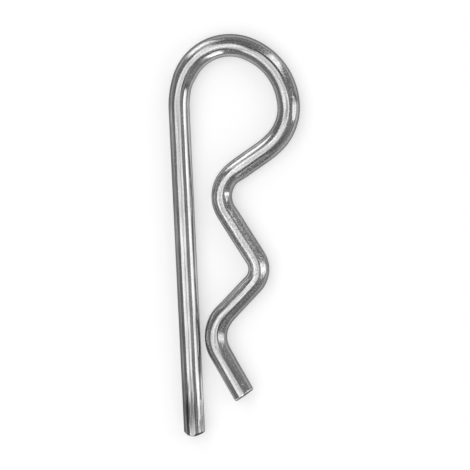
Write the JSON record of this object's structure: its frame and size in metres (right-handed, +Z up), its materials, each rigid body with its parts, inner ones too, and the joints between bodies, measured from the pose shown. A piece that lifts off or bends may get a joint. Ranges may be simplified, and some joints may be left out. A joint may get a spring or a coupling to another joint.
{
  "type": "hitch pin clip",
  "caption": "Bent spring-wire clip: a straight leg goes through a pin's cross hole, and a wavy arm snaps around the pin.",
  "frame": {"origin": "below the middle of the clip's outline, on the surface that it lies on", "axes": "+Y along the straight leg, from its tip to the loop; +X from the leg to the wavy arm; +Z up out of the plane of the clip"},
  "size_m": [0.0248, 0.075, 0.0041],
  "materials": {
    "plated_wire": "bright zinc-plated drawn spring wire, glossy, with fine lengthwise draw lines"
  },
  "bodies": {
    "root": {"clip_wire": "plated_wire"}
  },
  "joints": []
}
